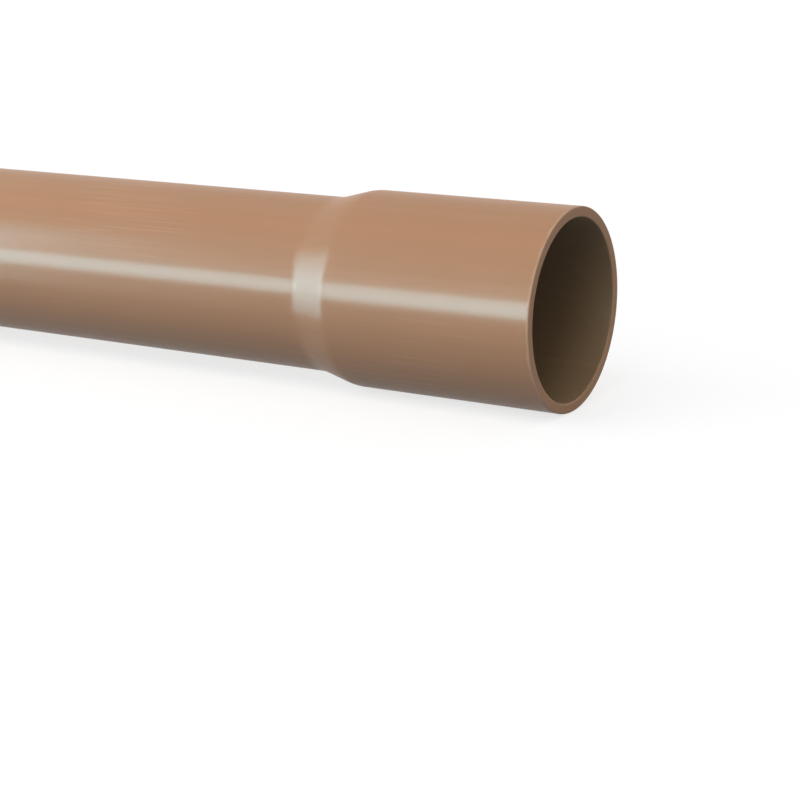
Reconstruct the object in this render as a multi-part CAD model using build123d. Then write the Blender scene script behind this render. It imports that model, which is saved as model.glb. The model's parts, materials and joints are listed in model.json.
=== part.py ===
from build123d import *
import os
from math import radians, tan

# A length of rigid PVC-U pressure pipe, DN 110, with a plain socket for solvent cement formed on
# one end and a chamfered spigot on the other. Sizes are in millimetres.
# It lies along X on the floor, which is z = 0. The socket's mouth faces +X, and the middle of the
# pipe's length is over the origin.

overall_length = 3000.0    # mouth of the socket to the tip of the spigot
pipe_diameter = 110.0      # outside of the barrel, the size that the pipe is named by
pipe_wall = 6.1

socket_depth = 137.0       # straight bore of the socket, from the mouth to the foot of the flare
socket_clearance = 0.15    # radial gap between the socket's bore and a pipe of this size
socket_wall = 6.2
rim_round = 0.8            # on the inner and the outer edge of the mouth

flare_angle = 15.0         # slope of the flare against the pipe's axis, in degrees
shoulder_radius = 28.0     # outside, where the socket's straight part turns into the flare
neck_radius = 36.0         # outside, where the flare runs out into the barrel

chamfer_length = 8.0       # along the pipe, at the tip of the spigot
chamfer_angle = 15.0       # against the pipe's axis, in degrees

barrel_radius = pipe_diameter / 2
flow_radius = barrel_radius - pipe_wall
socket_bore_radius = barrel_radius + socket_clearance
socket_radius = socket_bore_radius + socket_wall
tip_radius = barrel_radius - chamfer_length * tan(radians(chamfer_angle))

# The flare's inner corners lie a little nearer to the mouth than its outer ones, because the wall
# keeps its thickness round both bends.
bend_lead = tan(radians(flare_angle / 2))
mouth_x = overall_length / 2
tip_x = -overall_length / 2
flare_foot_x = mouth_x - socket_depth
shoulder_x = flare_foot_x - socket_wall * bend_lead
neck_x = shoulder_x - (socket_radius - barrel_radius) / tan(radians(flare_angle))
flow_end_x = neck_x + pipe_wall * bend_lead

# Corners of the wall's section: place along the pipe, distance from its axis, rounding.
outside = [
    (mouth_x, socket_radius, rim_round),
    (shoulder_x, socket_radius, shoulder_radius),
    (neck_x, barrel_radius, neck_radius),
    (tip_x + chamfer_length, barrel_radius, 0),
    (tip_x, tip_radius, 0),
]
inside = [
    (tip_x, flow_radius, 0),
    (flow_end_x, flow_radius, neck_radius + pipe_wall),
    (flare_foot_x, socket_bore_radius, shoulder_radius - socket_wall),
    (mouth_x, socket_bore_radius, rim_round),
]
corners = outside + inside

with BuildPart() as pipe:
    with BuildSketch(Plane.XZ):
        with BuildLine():
            FilletPolyline(
                [(x, radius) for x, radius, rounding in corners],
                radius=[rounding for x, radius, rounding in corners],
                close=True,
            )
        make_face()
    revolve(axis=Axis.X)

lying_pipe = pipe.part.moved(Location((0, 0, socket_radius)))
lying_pipe.label = "pipe"

os.makedirs("parts", exist_ok=True)
export_step(lying_pipe, "parts/pipe.step")

print(f"socket: outside {2 * socket_radius:.2f}, bore {2 * socket_bore_radius:.2f}")
print(f"flare: {shoulder_x - neck_x:.2f} long between its corners")
print(f"volume: {lying_pipe.volume / 1000:.0f} cm3")
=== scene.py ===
import json
import math
import bpy
from mathutils import Matrix, Vector


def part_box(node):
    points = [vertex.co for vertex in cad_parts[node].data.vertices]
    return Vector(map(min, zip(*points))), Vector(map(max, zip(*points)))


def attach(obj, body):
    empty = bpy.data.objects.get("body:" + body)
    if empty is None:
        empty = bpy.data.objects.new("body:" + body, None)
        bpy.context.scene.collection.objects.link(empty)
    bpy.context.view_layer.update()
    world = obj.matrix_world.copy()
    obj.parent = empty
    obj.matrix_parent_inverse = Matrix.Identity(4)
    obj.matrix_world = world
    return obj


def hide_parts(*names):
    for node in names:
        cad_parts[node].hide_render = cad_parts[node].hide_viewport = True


# A length of brown PVC-U pressure pipe, with a formed socket at one end and a chamfered spigot at the
# other, lying on a pale floor under soft studio light

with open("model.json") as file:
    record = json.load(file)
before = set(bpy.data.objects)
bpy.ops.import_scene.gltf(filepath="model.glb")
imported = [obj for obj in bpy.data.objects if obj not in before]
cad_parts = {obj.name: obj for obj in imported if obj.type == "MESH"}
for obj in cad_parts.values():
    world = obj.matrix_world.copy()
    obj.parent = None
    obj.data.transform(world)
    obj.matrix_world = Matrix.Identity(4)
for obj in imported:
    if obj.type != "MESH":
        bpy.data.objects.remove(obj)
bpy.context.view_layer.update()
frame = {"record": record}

# What the frame says about the pipe: it lies along X, with the socket's mouth at the +X end.
pipeLow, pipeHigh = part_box("pipe")
mounts = {mount["name"]: mount for mount in frame["record"]["mounts"]}
axisHeight = mounts["socket"]["pos_m"][2]
mouthX = pipeHigh.x
tipX = pipeLow.x
print("frame: pipe from x", round(tipX, 3), "to", round(mouthX, 3), "with its axis at", round(axisHeight, 5))


def mountRadius(name):
    return mounts[name]["dims"]["r_mm"] / 1000


def hexColor(text):
    # sRGB hex to linear RGBA
    channels = [int(text[i:i + 2], 16) / 255 for i in (1, 3, 5)]
    return [c / 12.92 if c <= 0.04045 else ((c + 0.055) / 1.055) ** 2.4 for c in channels] + [1.0]


def addNode(tree, kind, settings=None, **links):
    # settings are the node's properties or its inputs' values, by name or i0, i1 and so on;
    # links are the sockets that feed its inputs, named the same way
    node = tree.nodes.new(kind)

    def socketOf(name):
        return node.inputs[int(name[1:])] if name[0] == "i" and name[1:].isdigit() else node.inputs[name]

    for name, value in (settings or {}).items():
        if hasattr(node, name):
            setattr(node, name, value)
        else:
            socketOf(name).default_value = value
    for name, source in links.items():
        tree.links.new(source, socketOf(name))
    return node


# Materials

def startMaterial(name, settings):
    material = bpy.data.materials.new(name)
    material.use_nodes = True
    tree = material.node_tree
    shader = tree.nodes["Principled BSDF"]
    for socket, value in settings.items():
        shader.inputs[socket].default_value = value
    place = addNode(tree, "ShaderNodeTexCoord").outputs["Object"]
    # patterns are measured from the pipe's axis
    centred = addNode(tree, "ShaderNodeMapping", {"Location": (0, 0, -axisHeight)}, Vector=place)
    return material, tree, shader, centred.outputs[0]


fullRubAndHighlight = 0.0002              # metres in from the very end that are pale in full, worn skin that on the mouth's edges is also painted highlight
grainSpread = (0.4, 0.75)     # grain values at which the rubbed border is nearest the end and farthest in
scuffSpread = (0.34, 0.42)    # marks times patches: where a scuff starts to show, and where it is full


def wornAndHighlightedEnds(tree, centred, look):
    # the full rub strength at both ends, where handling has worn the skin pale, and 0 a little way in, with
    # a ragged border; on the mouth's rounded edges this pale band is also a painted highlight
    along = addNode(tree, "ShaderNodeSeparateXYZ", i0=centred).outputs["X"]
    toMouth = addNode(tree, "ShaderNodeMath", {"operation": "SUBTRACT", "i0": mouthX}, i1=along)
    toTip = addNode(tree, "ShaderNodeMath", {"operation": "SUBTRACT", "i1": tipX}, i0=along)
    nearest = addNode(tree, "ShaderNodeMath", {"operation": "MINIMUM"}, i0=toMouth.outputs[0],
                      i1=toTip.outputs[0])
    grain = addNode(tree, "ShaderNodeTexNoise", {"Scale": 1 / look["rubAndHighlightGrain"], "Detail": 3.0},
                    Vector=centred)
    low, high = look["rubAndHighlightReach"]
    reach = addNode(tree, "ShaderNodeMapRange", {"From Min": grainSpread[0], "From Max": grainSpread[1],
                                                 "To Min": low, "To Max": high}, Value=grain.outputs["Fac"])
    rubbedAndHighlighted = addNode(tree, "ShaderNodeMapRange", {"From Min": fullRubAndHighlight, "To Min": look["rubAndHighlightStrength"],
                                                  "To Max": 0.0},
                     Value=nearest.outputs[0], **{"From Max": reach.outputs["Result"]})
    return rubbedAndHighlighted.outputs["Result"]


def handlingScuffs(tree, centred, look):
    # thin rub marks along the pipe, in loose patches, from being slid over other pipes
    stretch = (1 / look["scuffLength"], 1 / look["scuffWidth"], 1 / look["scuffWidth"])
    drawn = addNode(tree, "ShaderNodeMapping", {"Scale": stretch}, Vector=centred)
    marks = addNode(tree, "ShaderNodeTexNoise", {"Scale": 1.0, "Detail": 2.0}, Vector=drawn.outputs[0])
    patches = addNode(tree, "ShaderNodeTexNoise", {"Scale": 1 / look["scuffPatch"], "Detail": 1.0},
                      Vector=centred)
    chosen = addNode(tree, "ShaderNodeMath", {"operation": "MULTIPLY"}, i0=marks.outputs["Fac"],
                     i1=patches.outputs["Fac"])
    thin = addNode(tree, "ShaderNodeMapRange", {"From Min": scuffSpread[0], "From Max": scuffSpread[1],
                                                "To Max": look["scuffStrength"]}, Value=chosen.outputs[0])
    return thin.outputs["Result"]


skinLook = {
    "brown": "#B08463",
    "paleBrown": "#B78B69",
    # pale worn skin, which along the mouth's rounded edges is also a painted highlight
    "rubbedAndHighlightBrown": "#DDBBA0",
    "cloudSize": 0.09,         # metres across one soft patch of colour
    "lineSpacing": 0.004,      # die lines run the whole length; real ones are finer, these just show
    "lineLength": 0.6,
    "lineDepth": 0.000012,
    "roughness": (0.5, 0.58),  # in the hollows and on the crests of the die lines
    "scuffedRoughness": 0.7,
    "specular": 0.03,
    "sheen": (0.3, 0.18),      # how much of the sharper gloss lies over the satin one, and its roughness
    "ior": 1.53,
    "rubAndHighlightGrain": 0.011,
    "rubAndHighlightReach": (0.0011, 0.0028),   # how far in from the end; the mouth's rounding is 0.8 mm, and the pale band over it is also a painted highlight
    "rubAndHighlightStrength": 0.6,
    "scuffLength": 0.06,
    "scuffWidth": 0.0008,
    "scuffPatch": 0.14,
    "scuffStrength": 0.16,
}

# the bore is the same PVC as the skin: its darker, less red browns paint in part of the shade inside the
# socket, and its pale ring at the mouth is worn skin and also a painted highlight on the inner rounded edge
boreLook = {
    "brown": "#917759",
    "paleBrown": "#987E5F",
    "rubbedAndHighlightBrown": "#C39A79",
    "cloudSize": 0.12,
    "lineSpacing": 0.005,
    "lineLength": 0.6,
    "lineDepth": 0.000012,
    "roughness": (0.5, 0.58),
    "scuffedRoughness": 0.6,
    "specular": 0.2,
    "sheen": (0.1, 0.3),
    "ior": 1.53,
    "rubAndHighlightGrain": 0.004,
    "rubAndHighlightReach": (0.0011, 0.0017),
    "rubAndHighlightStrength": 0.85,
    "scuffLength": 0.05,
    "scuffWidth": 0.001,
    "scuffPatch": 0.2,
    "scuffStrength": 0.12,
}


def extrudedPvc(name, look):
    # PVC-U skin as it leaves the cooled die: even colour, a close satin gloss, faint lines along the length
    material, tree, shader, centred = startMaterial(name, {
        "IOR": look["ior"], "Specular IOR Level": look["specular"],
        "Coat IOR": look["ior"], "Coat Roughness": look["sheen"][1]})
    stretch = (1 / look["lineLength"], 1 / look["lineSpacing"], 1 / look["lineSpacing"])
    drawn = addNode(tree, "ShaderNodeMapping", {"Scale": stretch}, Vector=centred)
    lines = addNode(tree, "ShaderNodeTexNoise", {"Scale": 1.0, "Detail": 3.0}, Vector=drawn.outputs[0])
    clouds = addNode(tree, "ShaderNodeTexNoise", {"Scale": 1 / look["cloudSize"], "Detail": 2.0},
                     Vector=centred)
    # each noise averages about a half, and so does twice their product
    tone = addNode(tree, "ShaderNodeMath", {"operation": "MULTIPLY"}, i0=lines.outputs["Fac"],
                   i1=clouds.outputs["Fac"])
    tone = addNode(tree, "ShaderNodeMath", {"operation": "MULTIPLY", "i1": 2.0}, i0=tone.outputs[0])
    plain = addNode(tree, "ShaderNodeMix", {"data_type": "RGBA", "i6": hexColor(look["brown"]),
                                            "i7": hexColor(look["paleBrown"])}, i0=tone.outputs[0])
    # worn ends and scuffs turn pale; on the mouth's rounded edges that paleness is also a painted highlight
    wearAndHighlight = addNode(tree, "ShaderNodeMath", {"operation": "MAXIMUM"}, i0=wornAndHighlightedEnds(tree, centred, look),
                   i1=handlingScuffs(tree, centred, look))
    color = addNode(tree, "ShaderNodeMix", {"data_type": "RGBA", "i7": hexColor(look["rubbedAndHighlightBrown"])},
                    i0=wearAndHighlight.outputs[0], i6=plain.outputs[2])
    tree.links.new(color.outputs[2], shader.inputs["Base Color"])
    low, high = look["roughness"]
    gloss = addNode(tree, "ShaderNodeMapRange", {"To Min": low, "To Max": high}, Value=lines.outputs["Fac"])
    dulled = addNode(tree, "ShaderNodeMix", {"i3": look["scuffedRoughness"]}, i0=wearAndHighlight.outputs[0],
                     i2=gloss.outputs["Result"])
    tree.links.new(dulled.outputs[0], shader.inputs["Roughness"])
    # where the skin is worn through, the sharper gloss is gone, and the pale colour there stands in for it
    # as a painted highlight
    sheen = addNode(tree, "ShaderNodeMapRange", {"From Max": look["rubAndHighlightStrength"], "To Min": look["sheen"][0],
                                                 "To Max": 0.0}, Value=wearAndHighlight.outputs[0])
    tree.links.new(sheen.outputs["Result"], shader.inputs["Coat Weight"])
    bump = addNode(tree, "ShaderNodeBump", {"Distance": look["lineDepth"], "Strength": 1.0},
                   Height=lines.outputs["Fac"])
    tree.links.new(bump.outputs["Normal"], shader.inputs["Normal"])
    tree.links.new(bump.outputs["Normal"], shader.inputs["Coat Normal"])
    return material


sawnLook = {
    "brown": "#BD906D",
    "paleBrown": "#C79B7A",
    "markSpacing": 0.0011,    # rings left by the saw, drawn coarse enough to show
    "markDepth": 0.00003,
    "along": (0, 1, 1),       # the marks are rings about the axis, counted outward from it
    "roughness": 0.6,
    "ior": 1.53,
    "specular": 0.05,
}

chamferLook = {
    "brown": "#B38A6B",
    "paleBrown": "#C39C7E",
    "markSpacing": 0.0007,
    "markDepth": 0.00004,
    "along": (1, 0, 0),       # the marks follow each other along the pipe
    "roughness": 0.6,
    "ior": 1.53,
    "specular": 0.2,
}


def cutPvc(name, look):
    # PVC-U that a blade has run round: dull and a little paler than the skin, with fine rings
    material, tree, shader, centred = startMaterial(name, {
        "IOR": look["ior"], "Roughness": look["roughness"], "Specular IOR Level": look["specular"]})
    kept = addNode(tree, "ShaderNodeVectorMath", {"operation": "MULTIPLY", "i1": look["along"]}, i0=centred)
    distance = addNode(tree, "ShaderNodeVectorMath", {"operation": "LENGTH"}, i0=kept.outputs[0])
    turns = addNode(tree, "ShaderNodeMath", {"operation": "MULTIPLY", "i1": 1 / look["markSpacing"]},
                    i0=distance.outputs["Value"])
    marks = addNode(tree, "ShaderNodeTexNoise", {"noise_dimensions": "1D", "Scale": 1.0, "Detail": 2.0},
                    W=turns.outputs[0])
    color = addNode(tree, "ShaderNodeMix", {"data_type": "RGBA", "i6": hexColor(look["brown"]),
                                            "i7": hexColor(look["paleBrown"])}, i0=marks.outputs["Fac"])
    tree.links.new(color.outputs[2], shader.inputs["Base Color"])
    bump = addNode(tree, "ShaderNodeBump", {"Distance": look["markDepth"], "Strength": 1.0},
                   Height=marks.outputs["Fac"])
    tree.links.new(bump.outputs["Normal"], shader.inputs["Normal"])
    return material


# Pipe: the wall's section is a loop of corners, which a node tree rounds and sweeps about the axis

pipeShape = {
    "socketDepth": 0.137,
    "flareAngle": math.radians(15),
    "shoulderRadius": 0.028,
    "neckRadius": 0.036,
    "rimRound": 0.0008,
    "chamferLength": 0.008,
    "chamferAngle": math.radians(15),
    "edgeBreak": 0.00025,     # the saw's burr is scraped off, so no edge is quite sharp
    "rimSteps": 8,            # faces across each rounding: the mouth's, the bends', the cut edges'
    "bendSteps": 12,
    "edgeSteps": 4,
    "chamferSteps": 2,        # and where the chamfer meets the barrel
    "facetsRound": 256,
    "ringSpacing": 0.05,      # along the straight runs, or a little more
    "shortestRun": 0.003,     # a straight run under this gets no ring of its own
    "smallestBend": 0.002,    # a rounding under this is on a square edge, not on a bend
    "endFacing": 0.98,        # a face that looks along the axis more squarely than this is an end face
}


def sectionCorners(shape):
    # (x, distance from the axis, rounding, steps in the rounding) round the wall's section
    barrel, bore, socketBore = mountRadius("spigot"), mountRadius("flow_bore"), mountRadius("socket")
    socket = pipeHigh.z / 2
    wall, socketWall = barrel - bore, socket - socketBore
    lead = math.tan(shape["flareAngle"] / 2)
    footX = mouthX - shape["socketDepth"]
    shoulderX = footX - socketWall * lead
    neckX = shoulderX - (socket - barrel) / math.tan(shape["flareAngle"])
    flowEndX = neckX + wall * lead
    chamferX = tipX + shape["chamferLength"]
    tipRadius = barrel - shape["chamferLength"] * math.tan(shape["chamferAngle"])
    rim, edge = shape["rimRound"], shape["edgeBreak"]
    rimSteps, bendSteps, edgeSteps = shape["rimSteps"], shape["bendSteps"], shape["edgeSteps"]
    return [
        (mouthX, socket, rim, rimSteps),
        (shoulderX, socket, shape["shoulderRadius"], bendSteps),
        (neckX, barrel, shape["neckRadius"], bendSteps),
        (chamferX, barrel, edge, shape["chamferSteps"]),
        (tipX, tipRadius, edge, edgeSteps),
        (tipX, bore, edge, edgeSteps),
        (flowEndX, bore, shape["neckRadius"] + wall, bendSteps),
        (footX, socketBore, shape["shoulderRadius"] - socketWall, bendSteps),
        (mouthX, socketBore, rim, rimSteps),
    ]


def roundReach(rounding, shape):
    # how much of the straight run beside it a rounding takes, with room to spare on a square edge
    reach = rounding * math.tan(shape["flareAngle"] / 2)
    return reach + 2 * rounding if rounding < shape["smallestBend"] else reach


def sectionMesh(shape):
    # corners joined by straight runs, with plain points along each run so that no face gets too long
    corners = sectionCorners(shape)
    points, roundings, steps = [], [], []
    for corner, following in zip(corners, corners[1:] + corners[:1]):
        points.append((corner[0], corner[1], 0))
        roundings.append(corner[2])
        steps.append(corner[3])
        start = Vector(corner[:2])
        run = Vector(following[:2]) - start
        first = roundReach(corner[2], shape)
        free = run.length - (first + roundReach(following[2], shape))
        count = int(free // shape["ringSpacing"])
        if count:
            alongs = [first + free * i / count for i in range(count + 1)]
        else:
            alongs = [first + free / 2] if free > shape["shortestRun"] else []
        for along in alongs:
            place = start + run.normalized() * along
            points.append((place.x, place.y, 0))
            roundings.append(0.0)
            steps.append(1)
    mesh = bpy.data.meshes.new("pipeSection")
    mesh.from_pydata(points, [(i, (i + 1) % len(points)) for i in range(len(points))], [])
    mesh.attributes.new("rounding", "FLOAT", "POINT").data.foreach_set("value", roundings)
    mesh.attributes.new("steps", "INT", "POINT").data.foreach_set("value", steps)
    return mesh


def markFaces(tree, pipe, chamferStart, endFacing):
    # which faces are chamfer, inside and end; the pipe's axis has to lie on the X axis
    normal = addNode(tree, "GeometryNodeInputNormal").outputs[0]
    facing = addNode(tree, "ShaderNodeSeparateXYZ", i0=normal)
    middle = addNode(tree, "ShaderNodeSeparateXYZ", i0=addNode(tree, "GeometryNodeInputPosition").outputs[0])
    square = addNode(tree, "ShaderNodeMath", {"operation": "ABSOLUTE"}, i0=facing.outputs["X"])
    isEnd = addNode(tree, "FunctionNodeCompare", {"operation": "GREATER_THAN"}, i0=square.outputs[0],
                    i1=endFacing)
    across = addNode(tree, "ShaderNodeCombineXYZ", Y=middle.outputs["Y"], Z=middle.outputs["Z"])
    awayFromAxis = addNode(tree, "ShaderNodeVectorMath", {"operation": "DOT_PRODUCT"}, i0=normal,
                           i1=across.outputs[0])
    isInside = addNode(tree, "FunctionNodeCompare", {"operation": "LESS_THAN", "i1": 0.0},
                       i0=awayFromAxis.outputs["Value"])
    isChamfer = addNode(tree, "FunctionNodeCompare", {"operation": "LESS_THAN"}, i0=middle.outputs["X"],
                        i1=chamferStart)
    for name, chosen in (("chamfer", isChamfer), ("inside", isInside), ("end", isEnd)):
        pipe = addNode(tree, "GeometryNodeStoreNamedAttribute",
                       {"data_type": "BOOLEAN", "domain": "FACE", "Name": name},
                       Geometry=pipe.outputs[0], Value=chosen.outputs[0])
    return pipe


def sweepTree(materials):
    tree = bpy.data.node_groups.new("sweepAboutAxis", "GeometryNodeTree")
    tree.interface.new_socket("Section", in_out="INPUT", socket_type="NodeSocketGeometry")
    for name, kind in (("Facets Round", "NodeSocketInt"), ("Sweep Radius", "NodeSocketFloat"),
                       ("Axis Height", "NodeSocketFloat"), ("Chamfer Start", "NodeSocketFloat"),
                       ("End Facing", "NodeSocketFloat")):
        tree.interface.new_socket(name, in_out="INPUT", socket_type=kind)
    tree.interface.new_socket("Pipe", in_out="OUTPUT", socket_type="NodeSocketGeometry")
    given = addNode(tree, "NodeGroupInput").outputs
    rounding = addNode(tree, "GeometryNodeInputNamedAttribute", {"data_type": "FLOAT", "Name": "rounding"})
    steps = addNode(tree, "GeometryNodeInputNamedAttribute", {"data_type": "INT", "Name": "steps"})
    loop = addNode(tree, "GeometryNodeMeshToCurve", Mesh=given["Section"])
    rounded = addNode(tree, "GeometryNodeFilletCurve", {"mode": "POLY"}, Curve=loop.outputs[0],
                      Count=steps.outputs[0], Radius=rounding.outputs[0])
    # the section is laid out in x and distance from the axis, and is swept as distance and x
    place = addNode(tree, "ShaderNodeSeparateXYZ", i0=addNode(tree, "GeometryNodeInputPosition").outputs[0])
    outward = addNode(tree, "ShaderNodeMath", {"operation": "SUBTRACT"}, i0=place.outputs["Y"],
                      i1=given["Sweep Radius"])
    across = addNode(tree, "ShaderNodeCombineXYZ", X=outward.outputs[0], Y=place.outputs["X"])
    section = addNode(tree, "GeometryNodeSetPosition", Geometry=rounded.outputs[0],
                      Position=across.outputs[0])
    circle = addNode(tree, "GeometryNodeCurvePrimitiveCircle", Resolution=given["Facets Round"],
                     Radius=given["Sweep Radius"])
    upright = addNode(tree, "GeometryNodeSetCurveNormal", {"mode": "Z_UP"}, Curve=circle.outputs[0])
    swept = addNode(tree, "GeometryNodeCurveToMesh", Curve=upright.outputs[0], i1=section.outputs[0])
    turned = addNode(tree, "GeometryNodeTransform", {"Rotation": (0, -math.pi / 2, 0)},
                     Geometry=swept.outputs[0])
    outside = addNode(tree, "GeometryNodeFlipFaces", Mesh=turned.outputs[0])
    merged = addNode(tree, "GeometryNodeMergeByDistance", {"Distance": 1e-6}, Geometry=outside.outputs[0])
    marked = markFaces(tree, merged, given["Chamfer Start"], given["End Facing"])
    lift = addNode(tree, "ShaderNodeCombineXYZ", Z=given["Axis Height"])
    lifted = addNode(tree, "GeometryNodeTransform", Geometry=marked.outputs[0], Translation=lift.outputs[0])
    smooth = addNode(tree, "GeometryNodeSetShadeSmooth", Geometry=lifted.outputs[0])
    real = addNode(tree, "GeometryNodeRealizeInstances", Geometry=smooth.outputs[0])
    painted = addNode(tree, "GeometryNodeSetMaterial", {"Material": materials["skin"]},
                      Geometry=real.outputs[0])
    for name in ("chamfer", "inside", "end"):
        chosen = addNode(tree, "GeometryNodeInputNamedAttribute", {"data_type": "BOOLEAN", "Name": name})
        painted = addNode(tree, "GeometryNodeSetMaterial", {"Material": materials[name]},
                          Geometry=painted.outputs[0], Selection=chosen.outputs[0])
    tree.links.new(painted.outputs[0], addNode(tree, "NodeGroupOutput").inputs[0])
    return tree


def setInputs(modifier, values):
    sockets = {item.name: item.identifier for item in modifier.node_group.interface.items_tree}
    for name, value in values.items():
        modifier[sockets[name]] = value


def bakeModifiers(piece):
    # the evaluated result becomes the piece's own mesh
    evaluated = piece.evaluated_get(bpy.context.evaluated_depsgraph_get())
    result = bpy.data.meshes.new_from_object(evaluated)
    piece.modifiers.clear()
    piece.data = result


def makePipe():
    materials = {
        "skin": extrudedPvc("extrudedPvcSkin", skinLook),
        "chamfer": cutPvc("turnedPvcChamfer", chamferLook),
        "inside": extrudedPvc("extrudedPvcBore", boreLook),
        "end": cutPvc("sawnPvcEnd", sawnLook),
    }
    print("materials:", ", ".join(material.name for material in materials.values()))
    pipe = bpy.data.objects.new("pvcPipe", sectionMesh(pipeShape))
    bpy.context.scene.collection.objects.link(pipe)
    modifier = pipe.modifiers.new("sweep", "NODES")
    modifier.node_group = sweepTree(materials)
    setInputs(modifier, {"Facets Round": pipeShape["facetsRound"], "Sweep Radius": mountRadius("spigot"),
                         "Axis Height": axisHeight, "Chamfer Start": tipX + pipeShape["chamferLength"],
                         "End Facing": pipeShape["endFacing"]})
    bpy.context.view_layer.update()
    bakeModifiers(pipe)
    print("pipe:", len(pipe.data.vertices), "vertices,", len(pipe.data.polygons), "faces,",
          [material.name for material in pipe.data.materials])
    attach(pipe, "root")
    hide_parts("pipe")


makePipe()

# Floor, world and lights

floorLook = {
    "size": 60.0,
    "bounce": "#7F8FA2",      # its colour for the light that it throws back on the pipe, a little cool
    "shade": 0.35,            # how much of its look is real light, which is where the shadow shows
    "glow": (0.72, 1.0),      # the rest of its look, beside the pipe and far off, where it is plain white
    "nearReach": (2.4, 1.4),  # half length and half width of the stretch that counts as beside the pipe
    "glowRange": (0.8, 2.2),  # multiples of nearReach between which the glow goes from near to far
    # x and y ranges through which the pipe's gloss meets the parts of the panels that hang below the floor
    "openings": [((0.92, 1.3), (-0.42, -0.07)), ((0.4, 0.92), (-0.7, -0.2)), ((0.0, 0.4), (-0.9, -0.45)),
                 ((-0.5, 0.0), (-1.2, -0.7)), ((-1.0, -0.5), (-1.6, -0.95)), ((-1.9, 1.5), (0.09, 0.38))],
}


def whiteRays(tree):
    # 1 where the camera, a reflection or a transmission looks, 0 for light that spreads over the object
    path = addNode(tree, "ShaderNodeLightPath")
    first = addNode(tree, "ShaderNodeMath", {"operation": "MAXIMUM"}, i0=path.outputs["Is Camera Ray"],
                    i1=path.outputs["Is Glossy Ray"])
    both = addNode(tree, "ShaderNodeMath", {"operation": "MAXIMUM"}, i0=first.outputs[0],
                   i1=path.outputs["Is Transmission Ray"])
    return both.outputs[0]


def paleFloor(look):
    # matt painted board: white to the camera apart from the pipe's soft shadow, dim to the pipe's underside
    material = bpy.data.materials.new("paleFloor")
    material.use_nodes = True
    tree = material.node_tree
    tree.nodes.clear()
    bounce = addNode(tree, "ShaderNodeBsdfDiffuse", {"Color": hexColor(look["bounce"])})
    shade = addNode(tree, "ShaderNodeBsdfDiffuse", {"Color": [look["shade"]] * 3 + [1]})
    place = addNode(tree, "ShaderNodeTexCoord").outputs["Object"]
    scaled = addNode(tree, "ShaderNodeMapping", {"Scale": [1 / reach for reach in look["nearReach"]] + [1]},
                     Vector=place)
    distance = addNode(tree, "ShaderNodeVectorMath", {"operation": "LENGTH"}, i0=scaled.outputs[0])
    (start, end), (near, far) = look["glowRange"], look["glow"]
    level = addNode(tree, "ShaderNodeMapRange", {"interpolation_type": "SMOOTHSTEP", "From Min": start,
                                                 "From Max": end, "To Min": near, "To Max": far},
                    Value=distance.outputs["Value"])
    glow = addNode(tree, "ShaderNodeEmission", {"Color": (1, 1, 1, 1)}, Strength=level.outputs["Result"])
    white = addNode(tree, "ShaderNodeAddShader", i0=shade.outputs[0], i1=glow.outputs[0])
    mix = addNode(tree, "ShaderNodeMixShader", i0=whiteRays(tree), i1=bounce.outputs[0], i2=white.outputs[0])
    addNode(tree, "ShaderNodeOutputMaterial", Surface=mix.outputs[0])
    return material


def makeFloor(look):
    # a grid of quads cut along the borders of the openings; those inside an opening are an object of their
    # own, which shows to the camera but lets reflections and the panels' light through
    half = look["size"] / 2
    cuts = [sorted({-half, half, *(edge for opening in look["openings"] for edge in opening[axis])})
            for axis in (0, 1)]
    quads = {"floor": [], "floorOpenings": []}
    for x0, x1 in zip(cuts[0], cuts[0][1:]):
        for y0, y1 in zip(cuts[1], cuts[1][1:]):
            isOpen = any(xs[0] < (x0 + x1) / 2 < xs[1] and ys[0] < (y0 + y1) / 2 < ys[1]
                         for xs, ys in look["openings"])
            corners = [(x0, y0, 0), (x1, y0, 0), (x1, y1, 0), (x0, y1, 0)]
            quads["floorOpenings" if isOpen else "floor"].append(corners)
    material = paleFloor(look)
    for name, faces in quads.items():
        mesh = bpy.data.meshes.new(name)
        mesh.from_pydata([corner for face in faces for corner in face], [],
                         [range(4 * i, 4 * i + 4) for i in range(len(faces))])
        mesh.materials.append(material)
        part = bpy.data.objects.new(name, mesh)
        bpy.context.scene.collection.objects.link(part)
        part.visible_glossy = part.visible_shadow = name == "floor"
    print("floor:", {name: len(faces) for name, faces in quads.items()}, "faces")


worldLook = {
    "softLight": 0.45,        # brightness of the even light from above the floor, where 1 is paper white
}


def makeWorld(look):
    world = bpy.data.worlds.new("studio")
    bpy.context.scene.world = world
    world.use_nodes = True
    tree = world.node_tree
    tree.nodes.clear()
    direction = addNode(tree, "ShaderNodeTexCoord").outputs["Generated"]
    height = addNode(tree, "ShaderNodeSeparateXYZ", i0=direction).outputs["Z"]
    aboveFloor = addNode(tree, "ShaderNodeMath", {"operation": "GREATER_THAN", "i1": 0.0}, i0=height)
    level = addNode(tree, "ShaderNodeMath", {"operation": "MULTIPLY", "i1": look["softLight"]},
                    i0=aboveFloor.outputs[0])
    soft = addNode(tree, "ShaderNodeBackground", {"Color": (1, 1, 1, 1)}, Strength=level.outputs[0])
    white = addNode(tree, "ShaderNodeBackground", {"Color": (1, 1, 1, 1), "Strength": 1.0})
    mix = addNode(tree, "ShaderNodeMixShader", i0=whiteRays(tree), i1=soft.outputs[0], i2=white.outputs[0])
    addNode(tree, "ShaderNodeOutputWorld", Surface=mix.outputs[0])
    print("world: soft light", look["softLight"], "and a white background")


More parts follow.
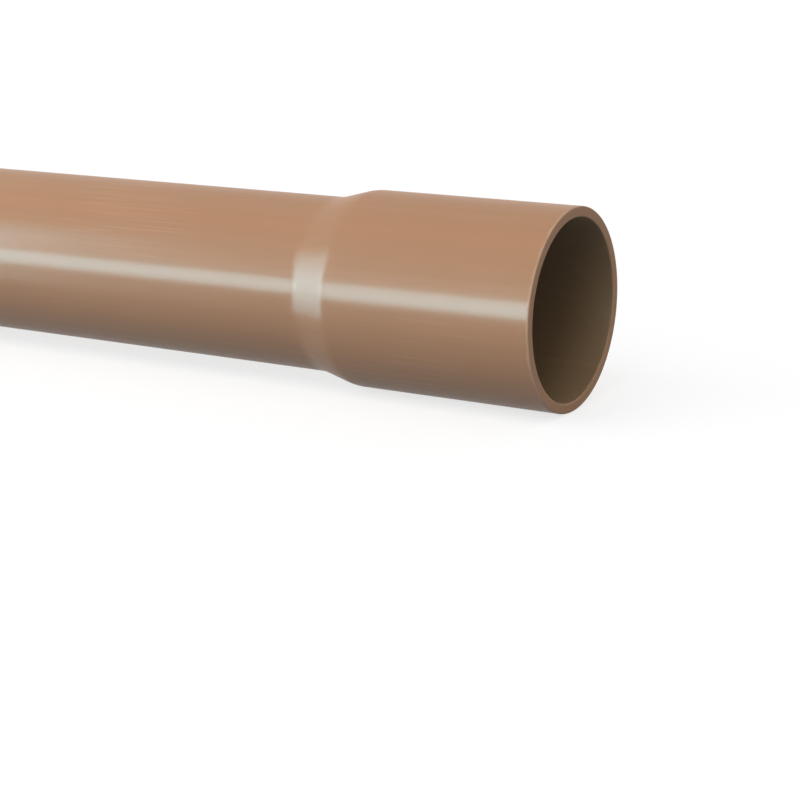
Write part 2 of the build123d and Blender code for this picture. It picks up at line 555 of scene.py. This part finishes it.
# place and aim in metres, size as width and height, roll about the line of aim, and spread, the cone of
# directions in degrees that the panel shines into; glow is its brightness, where 1 is paper white
lights = {
    # the highlight along the socket and the near barrel, its run to the far end, and the faint glow above it
    "streakPanel": {"place": (0.98, -0.75, 0.1245), "aim": (0.98, 0, 0.1245), "size": (1.24, 0.23),
                    "roll": 5, "spread": 140, "glow": 14.0, "color": "#B0EEFF", "shows": "gloss"},
    "farStreakPanel": {"place": (-0.875, -0.35, 0.0875), "aim": (-0.875, 0, 0.0875), "size": (2.65, 0.105),
                       "roll": 0, "spread": 140, "glow": 14.8, "color": "#B0EEFF", "shows": "gloss"},
    "haloPanel": {"place": (-0.35, -1.25, 0.38), "aim": (-0.35, 0, 0.38), "size": (4.1, 0.75),
                  "roll": 0, "spread": 140, "glow": 1.27, "color": "#E0F8FF", "shows": "gloss"},
    # the bright patch on the flare
    "flarePanel": {"place": (-1.0, -1.3, 0.46), "aim": (-0.161, -0.755, 0.38), "size": (1.35, 3.2),
                   "roll": 0, "spread": 66, "glow": 2.6, "color": "#B0EEFF", "shows": "gloss"},
    # the highlight along the rear side
    "backStreakPanel": {"place": (-0.3, 1.25, -0.4), "aim": (-0.3, 0, axisHeight), "size": (5.4, 0.36),
                        "roll": 0, "spread": 140, "glow": 12.7, "color": "#B0EEFF", "shows": "gloss"},
    # what lights the colour, from the front above and from behind
    "frontPanel": {"place": (0.35, -1.85, 1.5), "aim": (0.35, 0, axisHeight), "size": (3.9, 2.5),
                   "roll": 0, "spread": 180, "glow": 1.85, "color": "#FFFFFF", "shows": "colour"},
    "backPanel": {"place": (0.0, 2.3, 0.55), "aim": (0.0, 0, axisHeight), "size": (4.2, 1.0),
                  "roll": 0, "spread": 180, "glow": 2.7, "color": "#FFFFFF", "shows": "colour"},
}


def makeLight(name, look):
    lamp = bpy.data.lights.new(name, "AREA")
    lamp.shape = "RECTANGLE"
    lamp.size, lamp.size_y = look["size"]
    lamp.energy = look["glow"] * math.pi * lamp.size * lamp.size_y    # watts for that brightness
    lamp.spread = math.radians(look["spread"])
    lamp.color = hexColor(look["color"])[:3]
    light = bpy.data.objects.new(name, lamp)
    light.visible_camera = False
    light.visible_diffuse = look["shows"] == "colour"
    light.visible_glossy = look["shows"] == "gloss"
    place, aim = Vector(look["place"]), Vector(look["aim"])
    facing = (aim - place).to_track_quat("-Z", "Y").to_matrix().to_4x4()
    turn = Matrix.Rotation(math.radians(look["roll"]), 4, "Z")
    light.matrix_world = Matrix.Translation(place) @ facing @ turn
    bpy.context.scene.collection.objects.link(light)


# Camera, as fitted to the photograph's outlines of the pipe: the middle of the mouth lies at
# mouthPixel, mouthDepth metres in front of it
cameraLook = {
    "lensMm": 85.2,
    "turn": math.radians(30.43),
    "tilt": math.radians(14.1),
    "mouthPixel": (574.8, 310.7),
    "mouthDepth": 1.1106,
    "frameSide": 800,
    "sensorMm": 36.0,
    "clip": (0.05, 200),      # nearest and farthest metres that it sees
}


def makeCamera(look):
    data = bpy.data.cameras.new("camera")
    data.lens, data.sensor_width = look["lensMm"], look["sensorMm"]
    data.clip_start, data.clip_end = look["clip"]
    camera = bpy.data.objects.new("camera", data)
    turned = Matrix.Rotation(look["turn"], 4, "Z") @ Matrix.Rotation(math.pi / 2 - look["tilt"], 4, "X")
    pixelsPerSlope = look["lensMm"] / look["sensorMm"] * look["frameSide"]
    offset = [(pixel - look["frameSide"] / 2) / pixelsPerSlope for pixel in look["mouthPixel"]]
    mouth = Vector((mouthX, 0, axisHeight))
    seen = Vector((offset[0], -offset[1], -1)) * look["mouthDepth"]
    camera.matrix_world = Matrix.Translation(mouth - turned.to_3x3() @ seen) @ turned
    bpy.context.scene.collection.objects.link(camera)
    bpy.context.scene.camera = camera
    print("camera at", [round(c, 4) for c in camera.matrix_world.translation])


makeFloor(floorLook)
makeWorld(worldLook)
for name, look in lights.items():
    makeLight(name, look)
print("lights:", ", ".join(lights))
makeCamera(cameraLook)
bpy.context.scene.view_settings.view_transform = "Standard"
